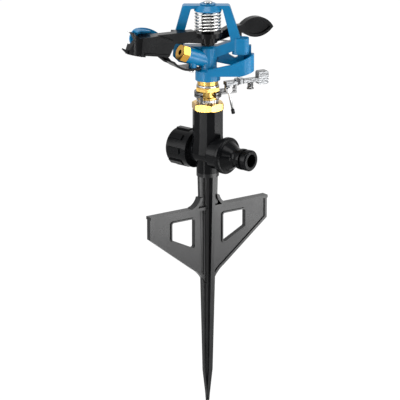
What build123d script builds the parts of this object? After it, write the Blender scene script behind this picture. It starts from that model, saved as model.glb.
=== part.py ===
from build123d import *
import os
from math import cos, radians

# Impulse sprinkler on a push-in stake, in millimetres.
# Origin on the swivel axis at the soil line, +Z up, +X towards the hose nipple.

# Whole object
SOIL_Z = 0.0
TUBE_Z = 47.0
HEAD_TURN = 40.0
STREAM_TURN = 209.0
STAKE_TURN = 75.0

# Fits
SCREWED_GAP = 0.05
RUNNING_GAP = 0.06
FACE_GAP = 0.1
SIDE_GAP = 0.3

# Stake
SPIKE_DEPTH = 174.0
POINT_LENGTH = 28.0
STEM_TOP_HALF = 9.5
STEM_MID_HALF = 6.5
STEM_LOW_HALF = 4.3
STEM_MID_DEPTH = 69.0
BLADE_THICK = 3.0
CORE_TOP_R = 4.6
CORE_LOW_R = 2.6
POINT_R = 0.6
STEM_CAP_R = 9.5
STEM_CAP_THICK = 3.0
SPIGOT_R = 6.0
SPIGOT_LENGTH = 7.5
WING_HALF = 60.0
WING_TIP_DEPTH = 20.0
WING_ROOT_X = 15.6
WING_ROOT_DEPTH = 54.0
WING_THICK = 2.6
RIM_THICK = 4.6
RIM_WIDTH = 2.2
STEP_WIDTH = 7.0
STEP_THICK = 2.5
STEP_CURL_R = 11.0
WINDOW_NEAR_X = 14.6
WINDOW_FAR_X = 37.5
WINDOW_TOP_DEPTH = 9.0
WINDOW_NEAR_DEPTH = 35.0
WINDOW_FAR_DEPTH = 24.0
WINDOW_CORNER_R = 1.5

# Manifold
TUBE_R = 11.0
WATERWAY_R = 8.0
SOCKET_R = 13.0
SOCKET_LENGTH = 9.0
TUBE_RIGHT_X = 17.5
FLANGE_R = 15.8
FLANGE_LEFT_X = -17.0
FLANGE_THICK = 5.0
CAP_SPIGOT_R = 12.5
CAP_SPIGOT_LENGTH = 12.0
BOSS_R = 9.5
BOSS_BOTTOM_Z = 29.5
POST_R = 12.7
POST_SIDES = 12
POST_TURN = 7.0
POST_TOP_Z = 83.5
POST_FOOT_HEIGHT = 14.0
POST_FOOT_GROWTH = 1.5
POST_SOCKET_DEPTH = 19.0

# Hose nipple, a male quick-connector stem
NIPPLE_TAIL_R = 10.0
NIPPLE_TAIL_LENGTH = 8.0
NIPPLE_BORE_R = 5.4
NIPPLE_FLANGE_R = 15.5
NIPPLE_FLANGE_THICK = 4.0
NIPPLE_CONE_R = 12.2
NIPPLE_CONE_LENGTH = 8.0
NIPPLE_NECK_R = 8.3
NIPPLE_RIDGE_R = 8.9
NIPPLE_GROOVE_R = 7.3
NIPPLE_LENGTH = 28.0
NIPPLE_WASHER_THICK = 1.5

# End cap
CAP_R = 15.2
CAP_LUG_R = 16.4
CAP_LUGS = 8
CAP_LUG_WIDTH = 5.0
CAP_LENGTH = 17.0
CAP_END_THICK = 2.9
CAP_WASHER_THICK = 2.0

# Brass riser adapter
ADAPTER_TAIL_R = 9.9
ADAPTER_BORE_R = 6.9
ADAPTER_HEX_AF = 24.0
ADAPTER_HEX_THICK = 6.3
ADAPTER_HEX_TURN = 23.0
ADAPTER_THREAD_DEPTH = 12.8
RISER_WASHER_THICK = 1.5

# Brass bearing nut
NUT_TAIL_R = 7.9
NUT_SHOULDER_R = 8.4
NUT_SHOULDER_THICK = 1.5
NUT_NECK_R = 6.9
NUT_NECK_LENGTH = 5.5
NUT_HEX_AF = 19.0
NUT_HEX_THICK = 3.6
NUT_HEX_TURN = 10.0

# Detent ring and stop collars
DETENT_R = 9.3
DETENT_THICK = 3.0
DETENT_TEETH = 24
DETENT_TOOTH_DEPTH = 0.6
COLLAR_R = 11.3
COLLAR_THICK = 2.0
COLLAR_MOUTH = 11.0
COLLAR_MOUTH_TURN = -82.0
COLLAR_TAB_R = 26.5
COLLAR_TAB_WIDTH = 3.0
COLLAR_TAB_TURN = 27.0
COLLAR_TAB_LIFT = 1.8
COLLAR_LEG_WIDTH = 2.2
COLLAR_PLAY = 0.4

# Swivel bearing
SLEEVE_R = 5.5
SLEEVE_BORE_R = 4.0
SLEEVE_FLANGE_R = 6.7
SLEEVE_FLANGE_THICK = 2.0
SLEEVE_THREAD_R = 6.4
SLEEVE_THREAD_LENGTH = 7.0
RUBBER_WASHER_THICK = 1.5
SLIP_WASHER_THICK = 0.9
THRUST_WASHER_R = 9.4
THRUST_WASHER_THICK = 1.6
THRUST_RING_R = 8.7
THRUST_RING_HEIGHT = 6.0
BEARING_SPRING_R = 7.2
BEARING_SPRING_WIRE = 1.0
BEARING_SPRING_TURNS = 3

# Head casting, in its own frame: +X along the bridge, towards the trip bracket
SKIRT_R = 10.4
SKIRT_BOTTOM_Z = 109.0
SKIRT_HEIGHT = 10.0
SKIRT_BORE_R = 8.8
SKIRT_BORE_DEPTH = 7.5
HUB_R = 7.6
HUB_TOP_Z = 138.2
CHAMBER_R = 4.6
STREAM_Z = 125.6
STREAM_RISE = 20.0
BARREL_R = 6.6
BARREL_BORE_R = 4.2
BARREL_LENGTH = 21.5
BRIDGE_DEPTH = 9.0
BRIDGE_TOP_Z = 172.5
BRIDGE_BEAM = 2.8
BRIDGE_SEAT_R = 11.4
BRIDGE_SEAT_DROP = 4.8
LEG_TOP_LEFT = 20.7
LEG_TOP_RIGHT = 17.9
LEG_WIDTH_LEFT = 6.7
LEG_WIDTH_RIGHT = 5.9
LEG_MID_Z = 148.0
LEG_MID_LEFT = 27.5
LEG_FOOT_LEFT = 29.0
LEG_FOOT_Z = 130.0
WEB_LEFT = 24.0
WEB_LOW_Z = 125.0
LEG_END_RIGHT = 27.1
LEG_END_Z = 144.5
FOOT_LEFT = 20.0
FOOT_RIGHT = 34.0
FOOT_DEPTH = 11.0
FOOT_BOTTOM_Z = 131.0
FOOT_CORNER_R = 4.5
PANEL_THICK = 3.0
PANEL_SLOT_X = 21.3
PANEL_SLOT_Z = 131.6
GUARD_CENTRE_X = 28.0
GUARD_R = 10.4
GUARD_WALL = 2.6
TRIP_PIVOT_X = 26.0
TRIP_PIVOT_Y = 1.0
TRIP_BOSS_R = 3.6
TRIP_BOSS_BOTTOM_Z = 112.0
TRIP_BOSS_TOP_Z = 124.0
FINGER_Z = 138.0
FINGER_ROOM = 3.4

# Nozzle
NOZZLE_TAIL_R = 5.2
NOZZLE_TAIL_LENGTH = 5.0
NOZZLE_AF = 12.6
NOZZLE_HEX_LENGTH = 6.5
NOZZLE_OUTLET_R = 2.2
NOZZLE_INLET_R = 3.8

# Fulcrum pin and cap
PIN_R = 2.0
PIN_BOTTOM_Z = 132.6
PIN_HEAD_R = 3.6
PIN_HEAD_THICK = 1.6
PIN_COLLAR_R = 6.4
PIN_COLLAR_THICK = 1.2

# Drive arm, in its own frame: +X along the stream, away from the pivot
ARM_HUB_R = 8.0
ARM_HUB_BOTTOM_Z = 140.8
ARM_DISC_R = 12.2
ARM_DISC_BOTTOM_Z = 146.0
ARM_TOP_Z = 149.8
ARM_BOSS_R = 5.6
ARM_BOSS_DROP = 1.9
BUSH_R = 3.1
ARM_BEAM_HALF = 3.8
ARM_BEAM_TOP_Z = 152.4
ARM_BEAM_BOTTOM_Z = 143.0
CHANNEL_HALF = 7.2
CHANNEL_WALL = 1.7
CHANNEL_ROOF = 2.0
VANE_THICK = 2.4
LEAF_THICK = 6.0
LEAF_RIM = 2.4
LEAF_RECESS = 1.3
LEAF_NECK_X = 29.0
LEAF_TIP_X = 61.0
LEAF_TOP_Z = 157.7
LEAF_BOTTOM_Z = 140.6
LUG_X = 30.0
LUG_SIZE = 3.0

# Drive spring
SPRING_R = 10.3
SPRING_WIRE = 1.5
SPRING_TURNS = 6

# Trip lever, shaft and wire
SHAFT_R = 1.5
SHAFT_TOP_Z = 143.2
SHAFT_BOTTOM_Z = 103.6
FINGER_LENGTH = 21.0
FINGER_TURN = 140.0
FINGER_R = 1.0
LEVER_BOTTOM_Z = 105.4
LEVER_THICK = 3.0
LEVER_TURN = 28.0
LEVER_LEFT = 13.3
LEVER_RIGHT = 26.5
LEVER_WIDTH = 6.0
LEVER_HUB_R = 4.2
BLOCK_LENGTH = 9.5
BLOCK_WIDTH = 6.0
BLOCK_BOTTOM_Z = 102.6
BLOCK_TOP_Z = 114.0
EAR_THICK = 2.4
EAR_DROP = 6.5
STUD_X = 10.6
STUD_R = 1.6
STUD_BOTTOM_Z = 99.6
CLIP_R = 3.0
CLIP_THICK = 0.8
TRIP_SPRING_WIRE = 0.8
TRIP_SPRING_TURNS = 3
WIRE_R = 1.0
WIRE_EYE_R = 2.3
WIRE_PIN_R = 1.2
WIRE_BOTTOM_Z = 81.6
WIRE_RAKE = 4.1
WIRE_TIP_R = 1.5
WIRE_TIP_LENGTH = 3.0

# Deflector flap and its bracket, in the stream frame
STRAP_THICK = 1.8
STRAP_NEAR_Y = 4.0
STRAP_SCREW_X = 14.4
STRAP_PAD_R = 3.4
STRAP_END_X = 33.0
STRAP_END_Z = 128.5
FLAP_THICK = 1.8
FLAP_SIDE_Y = 9.6
FLAP_LIP_WIDTH = 7.0
FLAP_PIVOT_X = 50.0
FLAP_PIVOT_Z = 146.5
RIVET_R = 1.6
RIVET_HEAD_R = 3.0
RIVET_HEAD_THICK = 1.0
SCREW_R = 1.5
SCREW_HEAD_R = 3.0
SCREW_HEAD_THICK = 1.8
SCREW_LENGTH = 6.0

# Heights that follow from the pieces below them
WATER_SEAT_Z = POST_TOP_Z - POST_SOCKET_DEPTH
ADAPTER_BOTTOM_Z = WATER_SEAT_Z + RISER_WASHER_THICK
ADAPTER_TOP_Z = POST_TOP_Z + ADAPTER_HEX_THICK
NUT_BOTTOM_Z = ADAPTER_TOP_Z - ADAPTER_THREAD_DEPTH
NUT_SHOULDER_Z = ADAPTER_TOP_Z + DETENT_THICK
NECK_BOTTOM_Z = NUT_SHOULDER_Z + NUT_SHOULDER_THICK
NECK_TOP_Z = NECK_BOTTOM_Z + NUT_NECK_LENGTH
NUT_TOP_Z = NECK_TOP_Z + NUT_HEX_THICK
THRUST_RING_Z = NUT_TOP_Z + THRUST_WASHER_THICK + FACE_GAP
SKIRT_TOP_Z = SKIRT_BOTTOM_Z + SKIRT_HEIGHT
SLEEVE_SEAT_Z = SKIRT_BOTTOM_Z + SKIRT_BORE_DEPTH
SLEEVE_TOP_Z = SLEEVE_SEAT_Z + SLEEVE_THREAD_LENGTH
SLIP_WASHER_Z = NUT_BOTTOM_Z - FACE_GAP - SLIP_WASHER_THICK
RUBBER_WASHER_Z = SLIP_WASHER_Z - RUBBER_WASHER_THICK
SLEEVE_BOTTOM_Z = RUBBER_WASHER_Z - SLEEVE_FLANGE_THICK
SEAT_Z = BRIDGE_TOP_Z - BRIDGE_SEAT_DROP
FLANGE_SEAT_X = TUBE_RIGHT_X + NIPPLE_WASHER_THICK
CAP_SPIGOT_X = FLANGE_LEFT_X - CAP_SPIGOT_LENGTH
CAP_OPEN_X = FLANGE_LEFT_X - SIDE_GAP
CAP_END_X = CAP_OPEN_X - CAP_LENGTH
LEVER_TOP_Z = LEVER_BOTTOM_Z + LEVER_THICK
STRAP_TOP_Z = SKIRT_TOP_Z + FACE_GAP + STRAP_THICK
SCREW_TOP_Z = STRAP_TOP_Z - STRAP_THICK + SCREW_LENGTH
NOZZLE_CLEAR_R = NOZZLE_AF / 2 / cos(radians(30)) + SIDE_GAP
STEM_CAP_Z = BOSS_BOTTOM_Z - STEM_CAP_THICK

# Frames of the turned pieces
HEAD = Rot(0, 0, HEAD_TURN)
STREAM = Rot(0, 0, HEAD_TURN + STREAM_TURN)
STAKE = Rot(0, 0, STAKE_TURN)
LEVER = HEAD * Pos(TRIP_PIVOT_X, TRIP_PIVOT_Y, 0) * Rot(0, 0, LEVER_TURN)


def face_of(*points):
    """Flat face inside a closed run of straight edges."""
    return make_face(Polyline(*points, close=True))


def turned(*points):
    """Solid of revolution about Z from (radius, height) points."""
    return revolve(Plane.XZ * face_of(*points), Axis.Z)


def tube(outer_r, inner_r, bottom_z, top_z):
    """Round sleeve about Z."""
    return turned((inner_r, bottom_z), (outer_r, bottom_z), (outer_r, top_z), (inner_r, top_z))


def rod(radius, bottom_z, top_z, x=0.0, y=0.0):
    """Upright round bar."""
    height = top_z - bottom_z
    return Pos(x, y, bottom_z + height / 2) * Cylinder(radius, height)


def block(x0, x1, y0, y1, z0, z1):
    """Box between two opposite corners."""
    centre = Pos((x0 + x1) / 2, (y0 + y1) / 2, (z0 + z1) / 2)
    return centre * Box(x1 - x0, y1 - y0, z1 - z0)


def slab(face, y0, y1):
    """A face drawn as (x, height), given depth from y0 to y1."""
    return Pos(0, y1, 0) * extrude(Plane.XZ * face, y1 - y0)


def hexagon(across_flats, bottom_z, top_z, turn=0.0):
    """Hexagonal bar about Z with its corners eased as a turned nut's are."""
    corner_r = across_flats / 2 / cos(radians(30))
    ease = corner_r - across_flats / 2
    bar = extrude(Pos(0, 0, bottom_z) * Rot(0, 0, turn) * RegularPolygon(corner_r, 6), top_z - bottom_z)
    cone_r = corner_r + ease
    envelope = turned(
        (0, bottom_z),
        (across_flats / 2, bottom_z),
        (cone_r, bottom_z + ease),
        (cone_r, top_z - ease),
        (across_flats / 2, top_z),
        (0, top_z),
    )
    return bar & envelope


def coil(mean_r, wire_d, turns, bottom_z, top_z, sides=8):
    """Open coil spring that just fits between two heights."""
    run = top_z - bottom_z - wire_d
    path = Pos(0, 0, bottom_z + wire_d / 2) * Helix(run / turns, run, mean_r)
    start = path @ 0
    section = Plane(origin=start, z_dir=path % 0) * RegularPolygon(wire_d / 2, sides)
    return sweep(section, path=path, is_frenet=True)


def along_x(piece):
    """Lay a piece that was drawn about Z down along +X at the tube's height."""
    return Pos(0, 0, TUBE_Z) * Rot(0, 90, 0) * piece


def stake():
    """Moulded stake: crossed blades on a tapered core, two wings and a step rail."""
    point_z = -SPIKE_DEPTH
    low_z = point_z + POINT_LENGTH
    half = [
        (STEM_TOP_HALF, STEM_CAP_Z),
        (STEM_MID_HALF, -STEM_MID_DEPTH),
        (STEM_LOW_HALF, low_z),
        (POINT_R, point_z),
    ]
    mirrored = [(-x, z) for x, z in reversed(half)]
    blade = slab(face_of(*half, *mirrored), -BLADE_THICK / 2, BLADE_THICK / 2)
    core = turned(
        (0, STEM_CAP_Z),
        (CORE_TOP_R, STEM_CAP_Z),
        (CORE_LOW_R, low_z),
        (POINT_R, point_z),
        (0, point_z),
    )
    cap = rod(STEM_CAP_R, STEM_CAP_Z, BOSS_BOTTOM_Z)
    spigot = rod(SPIGOT_R, BOSS_BOTTOM_Z, BOSS_BOTTOM_Z + SPIGOT_LENGTH)
    body = blade + Rot(0, 0, 90) * blade + core + cap + spigot
    body += wing() + wing().mirror(Plane.YZ) + step_rail()
    return STAKE * body


def wing():
    """One wing with its raised rim and the window through it."""
    stem_x = STEM_MID_HALF - BLADE_THICK
    root = (WING_ROOT_X, -WING_ROOT_DEPTH)
    end = (stem_x, -STEM_MID_DEPTH)
    middle = (stem_x + (WING_ROOT_X - stem_x) * 0.42, -WING_ROOT_DEPTH - (STEM_MID_DEPTH - WING_ROOT_DEPTH) * 0.4)
    outline = make_face(
        [
            Line((stem_x, SOIL_Z), (WING_HALF, SOIL_Z)),
            Line((WING_HALF, SOIL_Z), (WING_HALF, -WING_TIP_DEPTH)),
            Line((WING_HALF, -WING_TIP_DEPTH), root),
            ThreePointArc(root, middle, end),
            Line(end, (stem_x, SOIL_Z)),
        ]
    )
    window = face_of(
        (WINDOW_NEAR_X, -WINDOW_TOP_DEPTH),
        (WINDOW_FAR_X, -WINDOW_TOP_DEPTH),
        (WINDOW_FAR_X, -WINDOW_FAR_DEPTH),
        (WINDOW_NEAR_X, -WINDOW_NEAR_DEPTH),
    )
    window = fillet(window.vertices(), WINDOW_CORNER_R)
    frame = offset(window, RIM_WIDTH / 2) - window
    inner = offset(outline, -RIM_WIDTH, kind=Kind.INTERSECTION)
    plate = slab(outline - window, -WING_THICK / 2, WING_THICK / 2)
    rim = slab(outline - inner, -RIM_THICK / 2, RIM_THICK / 2)
    return plate + rim + slab(frame, -RIM_THICK / 2, RIM_THICK / 2)


def step_rail():
    """Rail along the wings' top edge that curls up beside the stem."""
    rail = block(-WING_HALF, WING_HALF, -STEP_WIDTH / 2, STEP_WIDTH / 2, -STEP_THICK, SOIL_Z)
    centre = STEM_TOP_HALF + STEP_CURL_R
    corner = Pos(centre, STEP_CURL_R) * Circle(STEP_CURL_R + STEP_THICK)
    corner -= Pos(centre, STEP_CURL_R) * Circle(STEP_CURL_R)
    quarter = Pos(centre - STEP_CURL_R / 2, STEP_CURL_R / 2)
    corner &= Pos(-STEP_THICK, -STEP_THICK) * quarter * Rectangle(STEP_CURL_R, STEP_CURL_R)
    curl = slab(corner, -STEP_WIDTH / 2, STEP_WIDTH / 2)
    return rail + curl + curl.mirror(Plane.YZ)


def manifold():
    """Moulded tee: tube along X, faceted riser post and the stake's socket."""
    tail_x = CAP_SPIGOT_X
    shell = turned(
        (0, tail_x),
        (CAP_SPIGOT_R, tail_x),
        (CAP_SPIGOT_R, FLANGE_LEFT_X),
        (FLANGE_R, FLANGE_LEFT_X),
        (FLANGE_R, FLANGE_LEFT_X + FLANGE_THICK),
        (TUBE_R, FLANGE_LEFT_X + FLANGE_THICK),
        (TUBE_R, TUBE_RIGHT_X - SOCKET_LENGTH - (SOCKET_R - TUBE_R)),
        (SOCKET_R, TUBE_RIGHT_X - SOCKET_LENGTH),
        (SOCKET_R, TUBE_RIGHT_X),
        (0, TUBE_RIGHT_X),
    )
    body = along_x(shell)
    facets = Rot(0, 0, POST_TURN) * RegularPolygon(POST_R, POST_SIDES)
    foot = Rot(0, 0, POST_TURN) * RegularPolygon(POST_R + POST_FOOT_GROWTH, POST_SIDES)
    post_height = POST_TOP_Z - TUBE_Z
    body += Pos(0, 0, TUBE_Z) * extrude(facets, post_height)
    flare = loft([Pos(0, 0, TUBE_Z) * foot, Pos(0, 0, TUBE_Z + POST_FOOT_HEIGHT) * facets])
    body += flare
    body += rod(BOSS_R, BOSS_BOTTOM_Z, TUBE_Z - TUBE_R / 2)
    body -= along_x(rod(WATERWAY_R, tail_x, TUBE_RIGHT_X))
    body -= rod(WATERWAY_R, TUBE_Z, WATER_SEAT_Z)
    body -= rod(ADAPTER_TAIL_R + SCREWED_GAP, WATER_SEAT_Z, POST_TOP_Z)
    body -= along_x(rod(NIPPLE_TAIL_R + SCREWED_GAP, TUBE_RIGHT_X - SOCKET_LENGTH, TUBE_RIGHT_X))
    body -= rod(SPIGOT_R + SCREWED_GAP, BOSS_BOTTOM_Z, BOSS_BOTTOM_Z + SPIGOT_LENGTH + FACE_GAP)
    return body


def hose_nipple():
    """Male quick-connector stem that screws into the tube's right end."""
    tip_x = FLANGE_SEAT_X + NIPPLE_LENGTH
    flange_x = FLANGE_SEAT_X + NIPPLE_FLANGE_THICK
    cone_x = flange_x + NIPPLE_CONE_LENGTH
    groove_x = tip_x - 7.5
    groove_width = 2.6
    ease = 1.0
    profile = turned(
        (NIPPLE_BORE_R, TUBE_RIGHT_X - NIPPLE_TAIL_LENGTH),
        (NIPPLE_TAIL_R, TUBE_RIGHT_X - NIPPLE_TAIL_LENGTH),
        (NIPPLE_TAIL_R, FLANGE_SEAT_X),
        (NIPPLE_FLANGE_R, FLANGE_SEAT_X),
        (NIPPLE_FLANGE_R, flange_x - ease),
        (NIPPLE_FLANGE_R - ease, flange_x),
        (NIPPLE_CONE_R + ease, flange_x),
        (NIPPLE_CONE_R, flange_x + ease),
        (NIPPLE_NECK_R, cone_x),
        (NIPPLE_NECK_R, groove_x - 2 * groove_width),
        (NIPPLE_RIDGE_R, groove_x - groove_width),
        (NIPPLE_RIDGE_R, groove_x),
        (NIPPLE_GROOVE_R, groove_x),
        (NIPPLE_GROOVE_R, groove_x + groove_width),
        (NIPPLE_RIDGE_R, groove_x + groove_width),
        (NIPPLE_RIDGE_R, tip_x - ease),
        (NIPPLE_RIDGE_R - ease, tip_x),
        (NIPPLE_BORE_R, tip_x),
    )
    return along_x(profile)


def nipple_washer():
    """Flat rubber ring between the nipple's flange and the tube's end."""
    ring = tube(SOCKET_R, NIPPLE_TAIL_R + SCREWED_GAP, TUBE_RIGHT_X, FLANGE_SEAT_X)
    return along_x(ring)


def end_cap():
    """Screw cap with grip lugs that closes the tube's left end."""
    ease = 1.2
    shell = turned(
        (0, CAP_END_X),
        (CAP_R - ease, CAP_END_X),
        (CAP_R, CAP_END_X + ease),
        (CAP_R, CAP_OPEN_X),
        (CAP_SPIGOT_R + FACE_GAP, CAP_OPEN_X),
        (CAP_SPIGOT_R + FACE_GAP, CAP_END_X + CAP_END_THICK),
        (0, CAP_END_X + CAP_END_THICK),
    )
    lug = block(CAP_R - 1, CAP_LUG_R, -CAP_LUG_WIDTH / 2, CAP_LUG_WIDTH / 2, CAP_END_X + 2 * ease, CAP_OPEN_X - ease)
    for spot in PolarLocations(0, CAP_LUGS):
        shell += spot * lug
    return along_x(shell)


def cap_washer():
    """Rubber disc inside the end cap."""
    inner_x = CAP_END_X + CAP_END_THICK
    return along_x(rod(CAP_SPIGOT_R - SIDE_GAP, inner_x, inner_x + CAP_WASHER_THICK))


def riser_adapter():
    """Brass hexagon screwed into the post, bored for the bearing nut."""
    body = rod(ADAPTER_TAIL_R, ADAPTER_BOTTOM_Z, POST_TOP_Z)
    body += hexagon(ADAPTER_HEX_AF, POST_TOP_Z, ADAPTER_TOP_Z, ADAPTER_HEX_TURN)
    body -= rod(ADAPTER_BORE_R, ADAPTER_BOTTOM_Z, ADAPTER_TOP_Z)
    body -= rod(NUT_TAIL_R + SCREWED_GAP, NUT_BOTTOM_Z, ADAPTER_TOP_Z)
    return body


def riser_washer():
    """Flat rubber ring under the adapter's tail."""
    return tube(ADAPTER_TAIL_R - FACE_GAP, ADAPTER_BORE_R, WATER_SEAT_Z, ADAPTER_BOTTOM_Z)


def bearing_nut():
    """Brass nut with the neck that the stop collars turn on."""
    spool = turned(
        (0, NUT_BOTTOM_Z),
        (NUT_TAIL_R, NUT_BOTTOM_Z),
        (NUT_TAIL_R, NUT_SHOULDER_Z),
        (NUT_SHOULDER_R, NUT_SHOULDER_Z),
        (NUT_SHOULDER_R, NECK_BOTTOM_Z),
        (NUT_NECK_R, NECK_BOTTOM_Z),
        (NUT_NECK_R, NECK_TOP_Z),
        (0, NECK_TOP_Z),
    )
    body = spool + hexagon(NUT_HEX_AF, NECK_TOP_Z, NUT_TOP_Z, NUT_HEX_TURN)
    return body - rod(SLEEVE_R + RUNNING_GAP, NUT_BOTTOM_Z, NUT_TOP_Z)


def detent_ring():
    """Toothed steel ring that holds the stop collars where they are set."""
    ring = tube(DETENT_R, NUT_TAIL_R + SCREWED_GAP, ADAPTER_TOP_Z, NUT_SHOULDER_Z)
    pitch = 360 / DETENT_TEETH
    gap = DETENT_R * radians(pitch) * 0.45
    notch = block(DETENT_R - DETENT_TOOTH_DEPTH, DETENT_R + 1, -gap / 2, gap / 2, ADAPTER_TOP_Z, NUT_SHOULDER_Z)
    for spot in PolarLocations(0, DETENT_TEETH):
        ring -= spot * notch
    return ring


def stop_collar(bottom_z, tab_turn, lift, leg_down):
    """Sprung C-shaped collar with the tab that the trip wire runs against."""
    top_z = bottom_z + COLLAR_THICK
    collar = tube(COLLAR_R, NUT_NECK_R + FACE_GAP, bottom_z, top_z)
    mouth = block(0, 2 * COLLAR_R, -COLLAR_MOUTH / 2, COLLAR_MOUTH / 2, bottom_z, top_z)
    collar -= Rot(0, 0, COLLAR_MOUTH_TURN) * mouth
    half = COLLAR_TAB_WIDTH / 2
    tab = block(COLLAR_R - 1, COLLAR_TAB_R, -half, half, bottom_z, top_z)
    lip_low = min(bottom_z, bottom_z + lift)
    lip_high = max(top_z, top_z + lift)
    tab += block(COLLAR_TAB_R - COLLAR_THICK, COLLAR_TAB_R, -half, half, lip_low, lip_high)
    collar += Rot(0, 0, tab_turn) * tab
    if leg_down:
        edge = COLLAR_MOUTH / 2
        leg = block(
            DETENT_R + COLLAR_PLAY, COLLAR_R - FACE_GAP,
            -edge - COLLAR_LEG_WIDTH, -edge,
            ADAPTER_TOP_Z + COLLAR_PLAY, top_z,
        )
        collar += Rot(0, 0, COLLAR_MOUTH_TURN) * leg
    return HEAD * collar


def lower_stop_collar():
    """Collar with the leg that drops beside the detent ring's teeth."""
    return stop_collar(NECK_BOTTOM_Z + COLLAR_PLAY, COLLAR_TAB_TURN, 0.0, True)


def upper_stop_collar():
    """Collar above the lower one, its tab turned up at the end."""
    return stop_collar(NECK_TOP_Z - COLLAR_PLAY - COLLAR_THICK, COLLAR_TAB_TURN, COLLAR_TAB_LIFT, False)


def bearing_sleeve():
    """Brass tube that carries the water up and turns inside the bearing nut."""
    flange_top = SLEEVE_BOTTOM_Z + SLEEVE_FLANGE_THICK
    return turned(
        (SLEEVE_BORE_R, SLEEVE_BOTTOM_Z),
        (SLEEVE_FLANGE_R, SLEEVE_BOTTOM_Z),
        (SLEEVE_FLANGE_R, flange_top),
        (SLEEVE_R, flange_top),
        (SLEEVE_R, SLEEVE_SEAT_Z),
        (SLEEVE_THREAD_R, SLEEVE_SEAT_Z),
        (SLEEVE_THREAD_R, SLEEVE_TOP_Z),
        (SLEEVE_BORE_R, SLEEVE_TOP_Z),
    )


def sleeve_washer(bottom_z, thickness):
    """Ring between the sleeve's flange and the bearing nut."""
    return tube(SLEEVE_FLANGE_R, SLEEVE_R + RUNNING_GAP, bottom_z, bottom_z + thickness)


def thrust_washer():
    """Bright steel washer on top of the bearing nut."""
    return tube(THRUST_WASHER_R, SLEEVE_R + RUNNING_GAP, NUT_TOP_Z, NUT_TOP_Z + THRUST_WASHER_THICK)


def thrust_ring():
    """Brass ring that the bearing spring holds down on the washer."""
    return tube(THRUST_RING_R, SLEEVE_R + RUNNING_GAP, THRUST_RING_Z, THRUST_RING_Z + THRUST_RING_HEIGHT)


def bearing_spring():
    """Coil inside the skirt that keeps the swivel's seals closed."""
    return coil(
        BEARING_SPRING_R, BEARING_SPRING_WIRE, BEARING_SPRING_TURNS,
        THRUST_RING_Z + THRUST_RING_HEIGHT, SLEEVE_SEAT_Z,
    )


def stream_bar(radius, start, end):
    """Round bar along the water's path out of the head, in the head's frame."""
    bar = rod(radius, start, end)
    return Pos(0, 0, STREAM_Z) * Rot(0, 0, STREAM_TURN) * Rot(0, 90 - STREAM_RISE, 0) * bar


def bridge():
    """Two raked legs and the beam over the drive arm, with the web under it."""
    beam_z = BRIDGE_TOP_Z - BRIDGE_BEAM
    outer = face_of(
        (-LEG_TOP_LEFT, BRIDGE_TOP_Z),
        (LEG_TOP_RIGHT, BRIDGE_TOP_Z),
        (LEG_END_RIGHT, LEG_END_Z),
        (LEG_END_RIGHT - 1, 136.0),
        (HUB_R, 129.0),
        (HUB_R - 2, SKIRT_TOP_Z),
        (-HUB_R + 2, STRAP_TOP_Z + SIDE_GAP),
        (-WEB_LEFT, WEB_LOW_Z),
        (-LEG_FOOT_LEFT, LEG_FOOT_Z),
        (-LEG_MID_LEFT, LEG_MID_Z),
    )
    opening = face_of(
        (-LEG_TOP_LEFT + LEG_WIDTH_LEFT, beam_z),
        (LEG_TOP_RIGHT - LEG_WIDTH_RIGHT, beam_z),
        (FOOT_LEFT - 0.8, 142.0),
        (HUB_R, HUB_TOP_Z),
        (-LEG_MID_LEFT + 7.4, HUB_TOP_Z),
        (-LEG_MID_LEFT + 7.6, LEG_MID_Z),
    )
    opening = fillet(opening.vertices(), 1.5)
    outer = fillet(outer.vertices().sort_by(Axis.Y)[-2:], 2.0)
    frame = slab(outer - opening, -BRIDGE_DEPTH / 2, BRIDGE_DEPTH / 2)
    seat = turned(
        (0, SEAT_Z),
        (BRIDGE_SEAT_R, SEAT_Z),
        (BRIDGE_SEAT_R, SEAT_Z + 1.2),
        (PIN_COLLAR_R + 2, BRIDGE_TOP_Z),
        (0, BRIDGE_TOP_Z),
    )
    return frame + seat


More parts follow.
